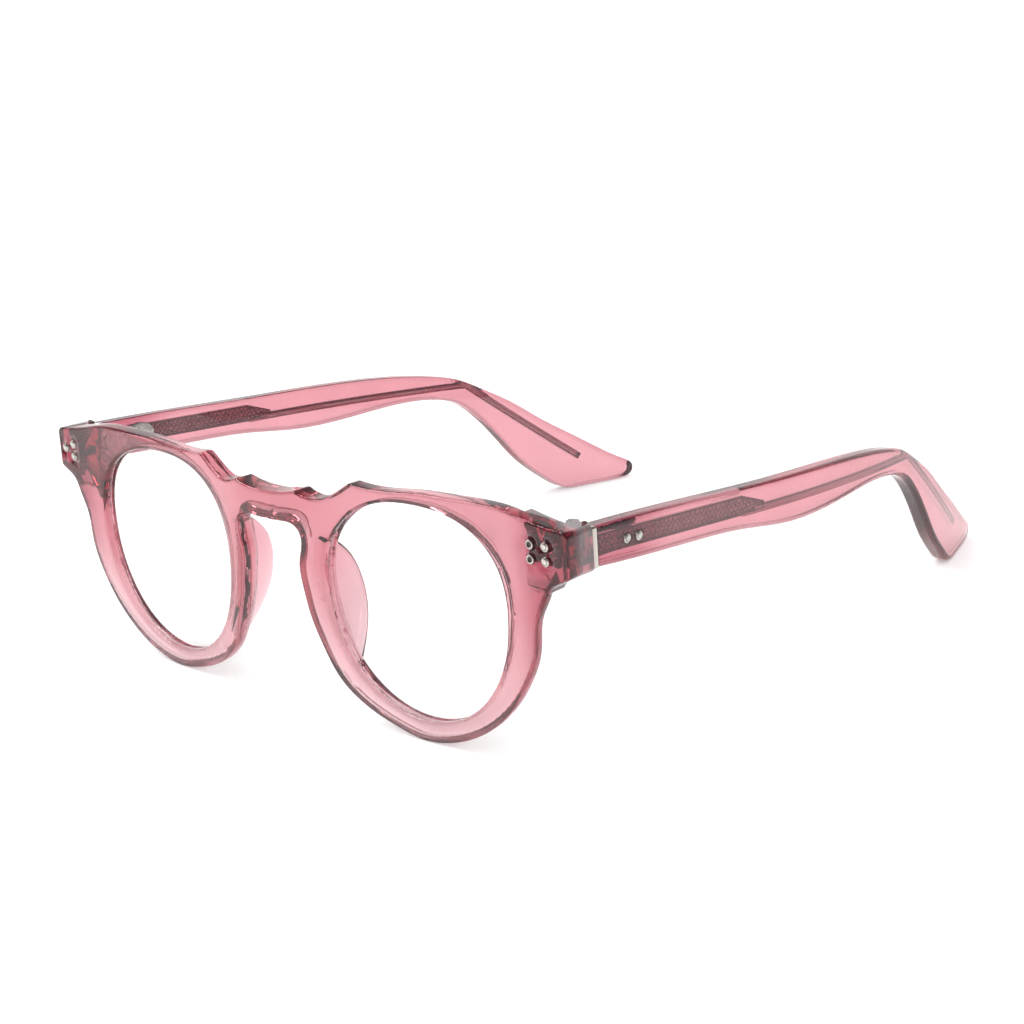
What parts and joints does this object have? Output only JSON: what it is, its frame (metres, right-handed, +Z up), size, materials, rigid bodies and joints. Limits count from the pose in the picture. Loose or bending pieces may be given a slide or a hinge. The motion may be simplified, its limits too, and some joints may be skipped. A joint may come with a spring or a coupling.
{
  "type": "eyeglasses",
  "caption": "Round crown-panto eyeglasses with a keyhole bridge, folding temples on barrel hinges and engraved core wires.",
  "frame": {"origin": "Centre of the bounding box of the open glasses on the ground: half way across, half way along and at the lowest point.", "axes": "+X towards the wearer's left, +Y back along the temples, +Z up; the front faces -Y."},
  "size_m": [0.145, 0.1623, 0.0483],
  "materials": {
    "acetate": "polished translucent pink acetate",
    "lens": "clear, polished",
    "hinge_metal": "satin",
    "rivet_metal": "polished heads",
    "core_metal": "engraved and stippled",
    "plate_metal": "satin"
  },
  "bodies": {
    "front": {"front_frame": "acetate", "left_lens": "lens", "right_lens": "lens", "left_nose_pad": "acetate", "right_nose_pad": "acetate", "left_front_hinge": "hinge_metal", "right_front_hinge": "hinge_metal", "left_hinge_screw": "hinge_metal", "right_hinge_screw": "hinge_metal", "left_front_rivets": "rivet_metal", "right_front_rivets": "rivet_metal"},
    "left_temple_arm": {"left_temple": "acetate", "left_core_wire": "core_metal", "left_temple_hinge": "hinge_metal", "left_temple_end_plate": "plate_metal", "left_temple_rivets": "rivet_metal"},
    "right_temple_arm": {"right_temple": "acetate", "right_core_wire": "core_metal", "right_temple_hinge": "hinge_metal", "right_temple_end_plate": "plate_metal", "right_temple_rivets": "rivet_metal"}
  },
  "joints": [
    {"name": "left_hinge", "type": "hinge", "parent": "front", "child": "left_temple_arm", "pos_m": [0.0666, -0.0678, 0.0413], "axis": [0, 0, 1], "range_deg": [0, 86]},
    {"name": "right_hinge", "type": "hinge", "parent": "front", "child": "right_temple_arm", "pos_m": [-0.0666, -0.0678, 0.0413], "axis": [0, 0, 1], "range_deg": [-79, 0]}
  ]
}
